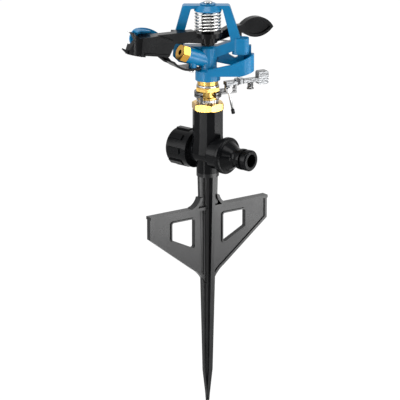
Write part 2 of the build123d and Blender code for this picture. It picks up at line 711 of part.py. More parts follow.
def trip_bracket():
    """Foot block, recessed panel and the hooked guard that carry the trip."""
    half = FOOT_DEPTH / 2
    foot_plan = fillet(
        (Pos((FOOT_LEFT + FOOT_RIGHT) / 2, 0) * Rectangle(FOOT_RIGHT - FOOT_LEFT, FOOT_DEPTH)).vertices(),
        FOOT_CORNER_R,
    )
    foot = Pos(0, 0, FOOT_BOTTOM_Z) * extrude(foot_plan, LEG_END_Z - FOOT_BOTTOM_Z)
    panel = slab(
        face_of((HUB_R - 2, 134), (FOOT_LEFT, 138), (30, 134), (30, 124.5), (19.5, 121.5), (HUB_R - 2, 124.5)),
        -PANEL_THICK / 2, PANEL_THICK / 2,
    )
    slot = slab(Pos(PANEL_SLOT_X, PANEL_SLOT_Z) * Rot(0, 0, -30) * RectangleRounded(8.5, 5.5, 2.4), -half, half)
    plan = Pos(GUARD_CENTRE_X, 0) * Circle(GUARD_R)
    plan += Pos(GUARD_CENTRE_X / 2, -GUARD_R / 2) * Rectangle(GUARD_CENTRE_X, GUARD_R)
    hollow = Pos(GUARD_CENTRE_X, 0) * Circle(GUARD_R - GUARD_WALL)
    inner = GUARD_R - GUARD_WALL
    hollow += Pos(GUARD_CENTRE_X / 2, -inner / 2) * Rectangle(GUARD_CENTRE_X, inner)
    hollow += Pos(GUARD_CENTRE_X / 2, GUARD_R / 2) * Rectangle(GUARD_CENTRE_X, GUARD_R)
    wall = Pos(0, 0, SKIRT_BOTTOM_Z) * extrude(plan - hollow, LEG_END_Z - SKIRT_BOTTOM_Z)
    outer_x = GUARD_CENTRE_X + GUARD_R
    side = slab(
        face_of((0, 113.7), (27, 113.7), (outer_x, 116.8), (outer_x, 131.0), (34.7, 129.7), (18.7, 123.3), (0, 119.5)),
        -GUARD_R, GUARD_R,
    )
    guard = wall & side
    floor = Pos(GUARD_CENTRE_X, 0, 119.5) * extrude(Circle(GUARD_R - GUARD_WALL / 2), 3)
    boss = rod(TRIP_BOSS_R, TRIP_BOSS_BOTTOM_Z, TRIP_BOSS_TOP_Z, TRIP_PIVOT_X, TRIP_PIVOT_Y)
    spine = block(29.5, 36.0, 2.0, 8.0, 120.0, 137.0)
    return foot + (panel - slot) + guard + floor + boss + spine


def head_body():
    """Die-cast head: skirt, hub, barrel, bridge and trip bracket in one piece."""
    ease = 1.8
    body = turned(
        (0, SKIRT_BOTTOM_Z),
        (SKIRT_R, SKIRT_BOTTOM_Z),
        (SKIRT_R, SKIRT_TOP_Z - ease),
        (HUB_R, SKIRT_TOP_Z),
        (HUB_R, HUB_TOP_Z - ease),
        (HUB_R - ease, HUB_TOP_Z),
        (0, HUB_TOP_Z),
    )
    body += stream_bar(BARREL_R, 0, BARREL_LENGTH)
    body += strap_pad()
    body += bridge()
    body += trip_bracket()
    body -= rod(SKIRT_BORE_R, SKIRT_BOTTOM_Z, SLEEVE_SEAT_Z)
    body -= rod(SLEEVE_THREAD_R + SCREWED_GAP, SLEEVE_SEAT_Z, SLEEVE_TOP_Z)
    body -= rod(CHAMBER_R, SLEEVE_TOP_Z, STREAM_Z)
    body -= stream_bar(BARREL_BORE_R, 0, BARREL_LENGTH)
    body -= stream_bar(NOZZLE_TAIL_R + SCREWED_GAP, BARREL_LENGTH - NOZZLE_TAIL_LENGTH - FACE_GAP, BARREL_LENGTH)
    body -= strap_screw_hole()
    body -= rod(PIN_R + SCREWED_GAP, PIN_BOTTOM_Z, BRIDGE_TOP_Z)
    body -= rod(SHAFT_R + RUNNING_GAP, TRIP_BOSS_BOTTOM_Z, SHAFT_TOP_Z + FACE_GAP, TRIP_PIVOT_X, TRIP_PIVOT_Y)
    body -= block(
        TRIP_PIVOT_X - 7, FOOT_RIGHT + 3, TRIP_PIVOT_Y - SHAFT_R - SIDE_GAP, FOOT_DEPTH,
        FINGER_Z - SIDE_GAP, FINGER_Z + FINGER_ROOM,
    )
    body -= stream_bar(NOZZLE_CLEAR_R, BARREL_LENGTH, BARREL_LENGTH + 2 * NOZZLE_HEX_LENGTH)
    return HEAD * body


def strap_pad():
    """Round pad under the barrel that the deflector's strap is screwed to."""
    return Rot(0, 0, STREAM_TURN) * rod(STRAP_PAD_R, STRAP_TOP_Z, STREAM_Z, STRAP_SCREW_X)


def strap_screw_hole():
    """Threaded hole up into the pad."""
    return Rot(0, 0, STREAM_TURN) * rod(SCREW_R + SCREWED_GAP, STRAP_TOP_Z, SCREW_TOP_Z + FACE_GAP, STRAP_SCREW_X)


def nozzle():
    """Brass hexagon nozzle screwed into the barrel."""
    seat = BARREL_LENGTH
    tip = seat + NOZZLE_HEX_LENGTH
    body = rod(NOZZLE_TAIL_R, seat - NOZZLE_TAIL_LENGTH, seat)
    body += hexagon(NOZZLE_AF, seat, tip, 30)
    body -= turned(
        (0, seat - NOZZLE_TAIL_LENGTH),
        (NOZZLE_INLET_R, seat - NOZZLE_TAIL_LENGTH),
        (NOZZLE_OUTLET_R, tip - 3),
        (NOZZLE_OUTLET_R, tip),
        (0, tip),
    )
    return HEAD * Pos(0, 0, STREAM_Z) * Rot(0, 0, STREAM_TURN) * Rot(0, 90 - STREAM_RISE, 0) * body


def fulcrum_pin():
    """Steel pin from the hub to the bridge, with a flat round head."""
    head_z = BRIDGE_TOP_Z + PIN_COLLAR_THICK
    return rod(PIN_R, PIN_BOTTOM_Z, head_z) + rod(PIN_HEAD_R, head_z, head_z + PIN_HEAD_THICK)


def pin_washer():
    """Blue washer ring under the pin's head."""
    return tube(PIN_COLLAR_R, PIN_R + SCREWED_GAP, BRIDGE_TOP_Z, BRIDGE_TOP_Z + PIN_COLLAR_THICK)


def arm_bush():
    """Bearing bush pressed into the drive arm's hub."""
    return tube(BUSH_R, PIN_R + RUNNING_GAP, ARM_HUB_BOTTOM_Z - ARM_BOSS_DROP, ARM_TOP_Z)


def drive_arm():
    """Moulded arm: hub, beam, water channel, vane and leaf-shaped weight."""
    body = rod(ARM_HUB_R, ARM_HUB_BOTTOM_Z, ARM_TOP_Z)
    body += rod(ARM_DISC_R, ARM_DISC_BOTTOM_Z, ARM_TOP_Z)
    body += rod(ARM_BOSS_R, ARM_HUB_BOTTOM_Z - ARM_BOSS_DROP, ARM_HUB_BOTTOM_Z)
    beam = slab(
        face_of(
            (6, ARM_TOP_Z), (ARM_DISC_R, ARM_TOP_Z), (ARM_DISC_R + 1.5, ARM_BEAM_TOP_Z), (52, ARM_BEAM_TOP_Z + 0.5),
            (52, 149.0), (36, ARM_BEAM_BOTTOM_Z + 1), (20, ARM_BEAM_BOTTOM_Z), (6, ARM_HUB_BOTTOM_Z),
        ),
        -ARM_BEAM_HALF, ARM_BEAM_HALF,
    )
    body += beam + channel() + vane() + anvil() + leaf_weight()
    body -= rod(BUSH_R + SCREWED_GAP, ARM_HUB_BOTTOM_Z - ARM_BOSS_DROP, ARM_TOP_Z)
    return STREAM * body


def channel():
    """Open-ended box that the stream runs through."""
    side = face_of((33.5, 146.0), (50, 153.0), (61.5, 152.6), (63, 138.0), (40, 134.2))
    side = fillet(side.vertices().sort_by(Axis.X)[:2], 1.2)
    wall = slab(side, CHANNEL_HALF - CHANNEL_WALL, CHANNEL_HALF)
    roof = slab(
        face_of((45, 150.9), (50, 153.0), (61.5, 152.6), (61.7, 152.6 - CHANNEL_ROOF), (50, 153.0 - CHANNEL_ROOF)),
        -CHANNEL_HALF, CHANNEL_HALF,
    )
    ledge = slab(
        face_of((41, 134.4), (62.8, 138.0), (62.6, 140.0), (40.4, 136.2)),
        CHANNEL_HALF - CHANNEL_WALL, CHANNEL_HALF + 0.8,
    )
    return wall + wall.mirror(Plane.XZ) + roof + ledge


def vane():
    """Curved spoon across the channel's end, with two pointed horns."""
    outer = ThreePointArc((62.0, CHANNEL_HALF), (70.5, 2.5), (73.5, -CHANNEL_HALF))
    inner = ThreePointArc((73.5 - VANE_THICK, -CHANNEL_HALF), (68.6, 1.2), (62.0, CHANNEL_HALF - VANE_THICK))
    plan = make_face(
        [outer, Line(outer @ 1, inner @ 0), inner, Line(inner @ 1, outer @ 0)]
    )
    curved = Pos(0, 0, LEAF_BOTTOM_Z - 6) * extrude(plan, 26)
    side = slab(
        face_of((60, 153.2), (66.5, 152.6), (70.5, 157.0), (71.2, 156.4), (69.5, 151), (73, 141.5),
                (77.5, 143.8), (78, 142.8), (73.5, 138.4), (62, 136.6), (60, 138)),
        -CHANNEL_HALF, CHANNEL_HALF,
    )
    spoon = curved & side
    upper_horn = slab(face_of((65.5, 150.5), (66.5, 152.6), (70.5, 157.0), (71.2, 156.4), (69.5, 150.5)), 0.5, 2.3)
    lower_horn = slab(face_of((70, 141.5), (73, 141.5), (77.5, 143.8), (78, 142.8), (73.5, 138.4), (70, 138.0)), -4.5, -2.7)
    cheek = slab(face_of((60, 152.6), (64.5, 152.6), (66, 137.2), (62, 137.2)), CHANNEL_HALF - CHANNEL_WALL, CHANNEL_HALF)
    return spoon + upper_horn + lower_horn + cheek


def anvil():
    """Striking lug that meets the bridge's left leg."""
    lug = block(21.0, 29.0, -11.5, 0, 144.0, ARM_BEAM_TOP_Z)
    keep_off = block(-60, 0, -(BRIDGE_DEPTH / 2 + SIDE_GAP), 60, 140, 160)
    return lug - Rot(0, 0, -STREAM_TURN) * keep_off


def leaf_weight():
    """Leaf-shaped balance weight with sunk faces, and the trip lug under it."""
    left = (-LEAF_NECK_X, 149.5)
    right = (-LEAF_TIP_X, 147.8)
    upper = ThreePointArc(left, (-(LEAF_NECK_X + 15.5), LEAF_TOP_Z), right)
    lower = ThreePointArc(right, (-(LEAF_NECK_X + 17.5), LEAF_BOTTOM_Z), left)
    outline = make_face([upper, lower])
    sunk = offset(outline, -LEAF_RIM)
    leaf = slab(outline, -LEAF_THICK / 2, LEAF_THICK / 2)
    leaf -= slab(sunk, LEAF_THICK / 2 - LEAF_RECESS, LEAF_THICK / 2)
    leaf -= slab(sunk, -LEAF_THICK / 2, -LEAF_THICK / 2 + LEAF_RECESS)
    neck = slab(
        face_of((-6, ARM_HUB_BOTTOM_Z), (-6, ARM_TOP_Z), (-ARM_DISC_R - 1, ARM_TOP_Z), (-20, ARM_BEAM_TOP_Z),
                (-34, ARM_BEAM_TOP_Z), (-34, 146.5), (-20, 144.0)),
        -ARM_BEAM_HALF + 0.6, ARM_BEAM_HALF - 0.6,
    )
    half = LUG_SIZE / 2
    lug = block(-LUG_X - half, -LUG_X + half, -half, half, FINGER_Z, 148.0)
    return leaf + neck + lug


def drive_spring():
    """Torsion spring that swings the arm back into the stream."""
    body = coil(SPRING_R, SPRING_WIRE, SPRING_TURNS, ARM_TOP_Z, SEAT_Z - SIDE_GAP, 12)
    return HEAD * body


def trip_shaft():
    """Steel shaft through the bracket, bent over at the top as a finger."""
    shaft = rod(SHAFT_R, SHAFT_BOTTOM_Z, SHAFT_TOP_Z)
    reach = Rot(0, 90, 0) * rod(FINGER_R, 0, FINGER_LENGTH)
    finger = Pos(0, 0, FINGER_Z + FINGER_R + SIDE_GAP) * Rot(0, 0, FINGER_TURN) * reach
    return HEAD * Pos(TRIP_PIVOT_X, TRIP_PIVOT_Y, 0) * (shaft + finger)


def trip_lever():
    """Plated lever: hub, plate, upright block and the ear for the trip wire."""
    half = LEVER_WIDTH / 2
    plate = block(-LEVER_LEFT, LEVER_RIGHT, -half, half, LEVER_BOTTOM_Z, LEVER_TOP_Z)
    hub = rod(LEVER_HUB_R, LEVER_BOTTOM_Z, LEVER_TOP_Z + 1)
    end_x = LEVER_RIGHT - BLOCK_LENGTH
    upright = block(end_x, LEVER_RIGHT, -BLOCK_WIDTH / 2, BLOCK_WIDTH / 2, BLOCK_BOTTOM_Z, BLOCK_TOP_Z)
    upright = fillet(upright.edges().filter_by(Axis.Y), 1.8)
    ear = block(
        -LEVER_LEFT, -LEVER_LEFT + 5.0, -EAR_THICK / 2, EAR_THICK / 2,
        LEVER_TOP_Z - EAR_DROP - EAR_THICK, LEVER_TOP_Z,
    )
    body = plate + hub + upright + ear
    body -= rod(SHAFT_R + SCREWED_GAP, LEVER_BOTTOM_Z, LEVER_TOP_Z + 1)
    body -= rod(STUD_R + SCREWED_GAP, LEVER_BOTTOM_Z, LEVER_TOP_Z, STUD_X)
    body -= wire_pin_bar(WIRE_PIN_R + SCREWED_GAP, -EAR_THICK, EAR_THICK)
    return LEVER * body


def wire_pin_bar(radius, y0, y1):
    """Bar across the lever's ear, where the trip wire hangs."""
    length = y1 - y0
    spot = Pos(-LEVER_LEFT + 2.5, (y0 + y1) / 2, LEVER_TOP_Z - EAR_DROP)
    return spot * Rot(90, 0, 0) * Cylinder(radius, length)


def wire_pin():
    """Rivet that the trip wire's eye turns on."""
    outer_y = -EAR_THICK / 2 - 2 * WIRE_R - 2 * FACE_GAP
    pin = wire_pin_bar(WIRE_PIN_R, outer_y, EAR_THICK / 2)
    head = wire_pin_bar(WIRE_PIN_R + 1.0, outer_y - 0.8, outer_y)
    return LEVER * (pin + head)


def trip_wire():
    """Hanging wire with an eye, which runs against the collars' tabs."""
    y = -EAR_THICK / 2 - FACE_GAP - WIRE_R
    eye_z = LEVER_TOP_Z - EAR_DROP
    eye_x = -LEVER_LEFT + 2.5
    eye = Pos(eye_x, y, eye_z) * Rot(90, 0, 0) * Torus(WIRE_EYE_R, WIRE_R)
    top = Vector(eye_x, y, eye_z - WIRE_EYE_R)
    end = Vector(eye_x + WIRE_RAKE, y, WIRE_BOTTOM_Z)
    line = Line(top, end)
    leg = sweep(Plane(origin=top, z_dir=end - top) * Circle(WIRE_R), path=line)
    return LEVER * (eye + leg)


def wire_tip():
    """Dark plastic sleeve on the wire's lower end."""
    y = -EAR_THICK / 2 - FACE_GAP - WIRE_R
    drop = Vector(WIRE_RAKE, 0, WIRE_BOTTOM_Z - (LEVER_TOP_Z - EAR_DROP - WIRE_EYE_R)).normalized()
    end = Vector(-LEVER_LEFT + 2.5 + WIRE_RAKE, y, WIRE_BOTTOM_Z)
    start = end - drop * WIRE_TIP_LENGTH
    plane = Plane(origin=start, z_dir=drop)
    outside = extrude(plane * Circle(WIRE_TIP_R), WIRE_TIP_LENGTH + 0.8)
    inside = extrude(plane * Circle(WIRE_R), WIRE_TIP_LENGTH)
    return LEVER * (outside - inside)


def trip_stud():
    """Pin under the lever that holds the over-centre spring."""
    return LEVER * rod(STUD_R, STUD_BOTTOM_Z, LEVER_TOP_Z, STUD_X)


def trip_spring():
    """Black over-centre spring on the stud."""
    top_z = LEVER_BOTTOM_Z - FACE_GAP
    body = coil(STUD_R + 0.6, TRIP_SPRING_WIRE, TRIP_SPRING_TURNS, STUD_BOTTOM_Z + CLIP_THICK, top_z)
    return LEVER * Pos(STUD_X, 0, 0) * body


def stud_clip():
    """Retaining clip on the stud's lower end."""
    return LEVER * Pos(STUD_X, 0, 0) * tube(CLIP_R, STUD_R, STUD_BOTTOM_Z, STUD_BOTTOM_Z + CLIP_THICK)


def flap_strap():
    """Curved flat strap from under the barrel to the deflector's pivot."""
    side_y = -(FLAP_SIDE_Y + FLAP_THICK)
    inner_x = HUB_R + 1.5
    flat_x = STRAP_SCREW_X + SCREW_HEAD_R
    flat = Line((inner_x, STRAP_TOP_Z), (flat_x, STRAP_TOP_Z))
    rise = TangentArc((flat_x, STRAP_TOP_Z), (STRAP_END_X, STRAP_END_Z), tangent=(1, 0))
    run = Wire([flat, rise])
    section = make_face(offset(run, STRAP_THICK, side=Side.RIGHT, closed=True))
    strip = slab(section, side_y - STRAP_THICK, STRAP_NEAR_Y)
    ear = slab(
        face_of((24, 121), (34.5, 125.5), (43, 132.5), (54, 145.5), (52, 150), (47, 150), (38, 137), (30, 128)),
        side_y - STRAP_THICK, side_y,
    )
    body = strip + ear
    body -= rod(SCREW_R + SCREWED_GAP, STRAP_TOP_Z - STRAP_THICK, STRAP_TOP_Z, STRAP_SCREW_X)
    body -= flap_bar(RIVET_R + SCREWED_GAP, side_y - 2 * STRAP_THICK, side_y + 1)
    return STREAM * body


def flap_bar(radius, y0, y1):
    """Bar along the deflector's pivot axis, in the stream frame."""
    return Pos(FLAP_PIVOT_X, (y0 + y1) / 2, FLAP_PIVOT_Z) * Rot(90, 0, 0) * Cylinder(radius, y1 - y0)


def deflector_flap():
    """Blue rounded plate beside the stream, its top lip turned over it."""
    side_y = -FLAP_SIDE_Y
    top = ThreePointArc((39, 149.0), (50, 155.9), (61, 157.2))
    tip = ThreePointArc((61, 157.2), (67.4, 150), (64, 142.0))
    under = ThreePointArc((64, 142.0), (50, 140.8), (39, 149.0))
    plate = slab(make_face([top, tip, under]), side_y - FLAP_THICK, side_y)
    lip = slab(
        face_of((52, 155.6), (61, 157.2), (64, 156.0), (64, 154.8), (61, 155.7), (52, 154.4)),
        side_y - FLAP_THICK, side_y + FLAP_LIP_WIDTH,
    )
    return STREAM * (plate + lip - flap_bar(RIVET_R + RUNNING_GAP, side_y - 2 * FLAP_THICK, side_y + 1))


def flap_rivet():
    """Rivet that the deflector turns on."""
    near = -FLAP_SIDE_Y + FACE_GAP
    far = -(FLAP_SIDE_Y + FLAP_THICK) - STRAP_THICK
    body = flap_bar(RIVET_R, far, near)
    body += flap_bar(RIVET_HEAD_R, near, near + RIVET_HEAD_THICK)
    body += flap_bar(RIVET_HEAD_R, far - RIVET_HEAD_THICK, far)
    return STREAM * body


def strap_screw():
    """Screw that holds the strap under the barrel."""
    head_z = STRAP_TOP_Z - STRAP_THICK
    body = rod(SCREW_R, head_z, SCREW_TOP_Z, STRAP_SCREW_X)
    body += rod(SCREW_HEAD_R, head_z - SCREW_HEAD_THICK, head_z, STRAP_SCREW_X)
    return STREAM * body


def build():
    """Every piece of the sprinkler by its name."""
    return {
        "stake": stake(),
        "manifold": manifold(),
        "hose_nipple": hose_nipple(),
        "nipple_washer": nipple_washer(),
        "end_cap": end_cap(),
        "cap_washer": cap_washer(),
        "riser_washer": riser_washer(),
        "riser_adapter": riser_adapter(),
        "bearing_nut": bearing_nut(),
        "detent_ring": detent_ring(),
        "thrust_washer": thrust_washer(),
        "lower_stop_collar": lower_stop_collar(),
        "upper_stop_collar": upper_stop_collar(),
        "bearing_sleeve": bearing_sleeve(),
        "sleeve_rubber_washer": sleeve_washer(RUBBER_WASHER_Z, RUBBER_WASHER_THICK),
        "sleeve_slip_washer": sleeve_washer(SLIP_WASHER_Z, SLIP_WASHER_THICK),
        "thrust_ring": thrust_ring(),
        "bearing_spring": bearing_spring(),
        "head_body": head_body(),
        "nozzle": nozzle(),
        "fulcrum_pin": fulcrum_pin(),
        "pin_washer": pin_washer(),
        "arm_bush": arm_bush(),
        "drive_arm": drive_arm(),
        "drive_spring": drive_spring(),
        "trip_shaft": trip_shaft(),
        "trip_lever": trip_lever(),
        "wire_pin": wire_pin(),
        "trip_stud": trip_stud(),
        "trip_spring": trip_spring(),
        "stud_clip": stud_clip(),
        "trip_wire": trip_wire(),
        "wire_tip": wire_tip(),
        "flap_strap": flap_strap(),
        "strap_screw": strap_screw(),
        "flap_rivet": flap_rivet(),
        "deflector_flap": deflector_flap(),
    }


os.makedirs("parts", exist_ok=True)
for name, piece in build().items():
    export_step(piece, f"parts/{name}.step")
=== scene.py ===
from math import cos, radians, sin

import bmesh
import bpy
from mathutils import Matrix, Vector


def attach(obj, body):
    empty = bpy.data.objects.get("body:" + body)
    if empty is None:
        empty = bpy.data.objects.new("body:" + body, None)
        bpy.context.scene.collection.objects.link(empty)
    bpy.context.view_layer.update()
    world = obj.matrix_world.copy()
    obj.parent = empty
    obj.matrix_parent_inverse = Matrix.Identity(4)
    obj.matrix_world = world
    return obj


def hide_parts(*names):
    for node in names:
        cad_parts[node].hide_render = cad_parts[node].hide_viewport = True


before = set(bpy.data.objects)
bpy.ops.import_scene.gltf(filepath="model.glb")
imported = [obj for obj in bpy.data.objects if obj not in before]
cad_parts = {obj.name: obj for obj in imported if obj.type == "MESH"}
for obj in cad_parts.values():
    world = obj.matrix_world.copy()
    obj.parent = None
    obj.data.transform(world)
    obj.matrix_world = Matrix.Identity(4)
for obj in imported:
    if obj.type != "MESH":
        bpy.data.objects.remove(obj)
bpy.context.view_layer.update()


# Ground stake. One moulding in black plastic: crossed blades on a tapered core, two wings
# with raised rims and windows, and the rail that a boot presses on. Its spigot is pushed up
# into the tee's boss.
STAKE_EDGE = 0.00045
BLACK = (0.0035, 0.0037, 0.0042, 1.0)
FLAT_FACE_WEIGHT = 80


def material_base(name):
    """A material with one Principled shader, and what is needed to wire it."""
    material = bpy.data.materials.new(name)
    material.use_nodes = True
    tree = material.node_tree
    return material, tree, tree.nodes["Principled BSDF"]


def node(tree, kind, **values):
    """A shader node with its settings and its socket values."""
    made = tree.nodes.new("ShaderNode" + kind)
    for key, value in values.items():
        if key in made.inputs:
            made.inputs[key].default_value = value
        else:
            setattr(made, key, value)
    return made


def spread(tree, texture, low, high):
    """A texture's value mapped to a narrow band, for roughness."""
    band = node(tree, "MapRange")
    band.inputs["From Min"].default_value = 0.3
    band.inputs["From Max"].default_value = 0.7
    band.inputs["To Min"].default_value = low
    band.inputs["To Max"].default_value = high
    tree.links.new(texture, band.inputs["Value"])
    return band.outputs["Result"]


def moulded_black(name, colour, rough, grain, shine):
    """Black injection-moulded plastic: rough is its haze, grain its spark texture, shine its mirror."""
    material, tree, shader = material_base(name)
    place = node(tree, "TexCoord").outputs["Object"]
    flow = node(tree, "TexNoise", Scale=38.0, Detail=3.0)
    fine = node(tree, "TexNoise", Scale=2600.0, Detail=2.0)
    for texture in (flow, fine):
        tree.links.new(place, texture.inputs["Vector"])
    tint = node(tree, "ValToRGB")
    tint.color_ramp.elements[0].position = 0.35
    tint.color_ramp.elements[0].color = [c * 0.8 for c in colour[:3]] + [1.0]
    tint.color_ramp.elements[1].position = 0.7
    tint.color_ramp.elements[1].color = [c * 1.3 for c in colour[:3]] + [1.0]
    tree.links.new(flow.outputs["Fac"], tint.inputs["Fac"])
    tree.links.new(tint.outputs["Color"], shader.inputs["Base Color"])
    tree.links.new(spread(tree, flow.outputs["Fac"], rough - 0.04, rough + 0.06), shader.inputs["Roughness"])
    bump = node(tree, "Bump", Strength=grain, Distance=0.00004)
    tree.links.new(fine.outputs["Fac"], bump.inputs["Height"])
    tree.links.new(bump.outputs["Normal"], shader.inputs["Normal"])
    shader.inputs["Specular IOR Level"].default_value = shine
    return material


def merged_copy(name):
    """The solid's surface with its corners joined and its flat faces whole."""
    shape = bmesh.new()
    shape.from_mesh(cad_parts[name].data)
    bmesh.ops.remove_doubles(shape, verts=shape.verts, dist=0.000002)
    bmesh.ops.dissolve_limit(
        shape, angle_limit=radians(0.4), use_dissolve_boundaries=False,
        verts=shape.verts, edges=shape.edges, delimit=set(),
    )
    return shape


def ease_edges(shape, width, sharper=32.0, segments=2):
    """Round the sharp edges as a mould or a tumbling drum leaves them."""
    edges = [
        e for e in shape.edges
        if len(e.link_faces) == 2 and e.calc_face_angle(0.0) > radians(sharper)
    ]
    bmesh.ops.bevel(
        shape, geom=edges, offset=width, offset_type="OFFSET", segments=segments,
        profile=0.5, affect="EDGES", clamp_overlap=True, material=-1,
    )


def put(shape, name, body, material, stands_for=(), smooth=34.0):
    """Make the piece from its mesh, let it ride on its body and stand for its solid."""
    mesh = bpy.data.meshes.new(name)
    shape.to_mesh(mesh)
    shape.free()
    mesh.shade_smooth()
    mesh.set_sharp_from_angle(angle=radians(smooth))
    piece = bpy.data.objects.new(name, mesh)
    bpy.context.scene.collection.objects.link(piece)
    flat_faces = piece.modifiers.new("flat_faces", "WEIGHTED_NORMAL")
    flat_faces.keep_sharp = True
    flat_faces.weight = FLAT_FACE_WEIGHT
    mesh.materials.append(material)
    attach(piece, body)
    if stands_for:
        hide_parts(*stands_for)
    return piece


def finished(name, body, material, edge, sharper=32.0, smooth=34.0):
    """A piece that keeps its solid's shape and gets eased edges and a finish."""
    shape = merged_copy(name)
    if edge:
        ease_edges(shape, edge, sharper)
    return put(shape, name + "_finished", body, material, (name,), smooth)


stake_plastic = moulded_black("stake_plastic", BLACK, rough=0.3, grain=0.2, shine=0.27)
finished("stake", "base", stake_plastic, STAKE_EDGE)

# Tee. Black plastic moulding with a tube along the ground, a faceted riser post and the
# boss for the stake. The adapter, the nipple and the cap screw into it.
TEE_EDGE = 0.0004
tee_plastic = moulded_black("tee_plastic", BLACK, rough=0.18, grain=0.1, shine=0.07)
finished("manifold", "base", tee_plastic, TEE_EDGE, sharper=24.0, smooth=20.0)

# Hose nipple. A turned-looking plastic stem with a sealing groove and ridges, screwed into
# the tube against a rubber washer.
finished("hose_nipple", "base", tee_plastic, 0.0003)


def soft_rubber(name, colour):
    """Matte rubber with a slight bloom."""
    material, tree, shader = material_base(name)
    place = node(tree, "TexCoord").outputs["Object"]
    bloom = node(tree, "TexNoise", Scale=420.0, Detail=4.0)
    tree.links.new(place, bloom.inputs["Vector"])
    shade = node(tree, "ValToRGB")
    shade.color_ramp.elements[0].color = colour
    shade.color_ramp.elements[1].color = [c * 1.9 for c in colour[:3]] + [1.0]
    tree.links.new(bloom.outputs["Fac"], shade.inputs["Fac"])
    tree.links.new(shade.outputs["Color"], shader.inputs["Base Color"])
    shader.inputs["Roughness"].default_value = 0.72
    bump = node(tree, "Bump", Strength=0.3, Distance=0.00005)
    tree.links.new(bloom.outputs["Fac"], bump.inputs["Height"])
    tree.links.new(bump.outputs["Normal"], shader.inputs["Normal"])
    return material


rubber = soft_rubber("black_rubber", (0.012, 0.012, 0.012, 1.0))
finished("nipple_washer", "base", rubber, 0.0)

# End cap. A black screw cap with grip lugs and a rubber disc inside, which closes the
# tube's other end; it comes off to join a second hose.
finished("end_cap", "cap", tee_plastic, 0.0005)
finished("cap_washer", "cap", rubber, 0.0)

# Riser adapter and bearing nut. Turned brass: a large hexagon screwed into the post over
# a rubber washer, and the spool-shaped nut that the collars turn on.
BRASS = (0.76, 0.50, 0.14, 1.0)


def turned_brass(name, colour, rough, across=(0.0, 0.0, 0.0)):
    """Turned brass with soft colour drift and fine tool rings, which across turns off +Z."""
    material, tree, shader = material_base(name)
    place = node(tree, "Mapping")
    place.inputs["Rotation"].default_value = across
    tree.links.new(node(tree, "TexCoord").outputs["Object"], place.inputs["Vector"])
    rings = node(tree, "TexWave", bands_direction="Z", Scale=820.0, Distortion=0.6, Detail=1.0)
    drift = node(tree, "TexNoise", Scale=130.0, Detail=4.0)
    for texture in (rings, drift):
        tree.links.new(place.outputs["Vector"], texture.inputs["Vector"])
    tint = node(tree, "ValToRGB")
    tint.color_ramp.elements[0].position = 0.3
    tint.color_ramp.elements[0].color = (colour[0] * 0.8, colour[1] * 0.7, colour[2] * 0.6, 1.0)
    tint.color_ramp.elements[1].position = 0.62
    tint.color_ramp.elements[1].color = colour
    tree.links.new(drift.outputs["Fac"], tint.inputs["Fac"])
    tree.links.new(tint.outputs["Color"], shader.inputs["Base Color"])
    shader.inputs["Metallic"].default_value = 1.0
    tree.links.new(spread(tree, drift.outputs["Fac"], rough - 0.05, rough + 0.08), shader.inputs["Roughness"])
    bump = node(tree, "Bump", Strength=0.16, Distance=0.00003)
    tree.links.new(rings.outputs["Fac"], bump.inputs["Height"])
    tree.links.new(bump.outputs["Normal"], shader.inputs["Normal"])
    return material


brass = turned_brass("riser_brass", BRASS, rough=0.24)
finished("riser_adapter", "base", brass, 0.00035)
finished("riser_washer", "base", rubber, 0.0)
finished("bearing_nut", "base", brass, 0.00025)

# Detent ring and thrust washer. Bright steel: the ring's teeth hold the collars where the
# gardener sets them, and the washer takes the head's thrust.
STEEL = (0.50, 0.50, 0.50, 1.0)


def bright_steel(name, colour, rough, streak, dents=0.00002):
    """Stainless steel with streaks, closer together as streak grows, and dents of that depth."""
    material, tree, shader = material_base(name)
    place = node(tree, "TexCoord").outputs["Object"]
    drawn = node(tree, "TexNoise", Scale=streak, Detail=3.0)
    stretch = node(tree, "Mapping", Scale=(1.0, 1.0, 7.0))
    tree.links.new(place, stretch.inputs["Vector"])
    tree.links.new(stretch.outputs["Vector"], drawn.inputs["Vector"])
    tint = node(tree, "ValToRGB")
    tint.color_ramp.elements[0].position = 0.25
    tint.color_ramp.elements[0].color = [c * 0.82 for c in colour[:3]] + [1.0]
    tint.color_ramp.elements[1].position = 0.65
    tint.color_ramp.elements[1].color = colour
    tree.links.new(drawn.outputs["Fac"], tint.inputs["Fac"])
    tree.links.new(tint.outputs["Color"], shader.inputs["Base Color"])
    shader.inputs["Metallic"].default_value = 1.0
    tree.links.new(spread(tree, drawn.outputs["Fac"], rough - 0.05, rough + 0.07), shader.inputs["Roughness"])
    bump = node(tree, "Bump", Strength=0.4, Distance=dents)
    tree.links.new(drawn.outputs["Fac"], bump.inputs["Height"])
    tree.links.new(bump.outputs["Normal"], shader.inputs["Normal"])
    return material


steel = bright_steel("bright_steel", STEEL, rough=0.24, streak=900.0)
finished("detent_ring", "base", steel, 0.00015)
finished("thrust_washer", "base", steel, 0.00025)

# Stop collars. Two C-shaped strips of dark sprung steel on the nut's neck; their tabs set
# the two ends of the watered sector.
strip_steel = bright_steel("strip_steel", (0.13, 0.13, 0.13, 1.0), rough=0.34, streak=1400.0)
finished("lower_stop_collar", "lower_collar", strip_steel, 0.0002)
finished("upper_stop_collar", "upper_collar", strip_steel, 0.0002)

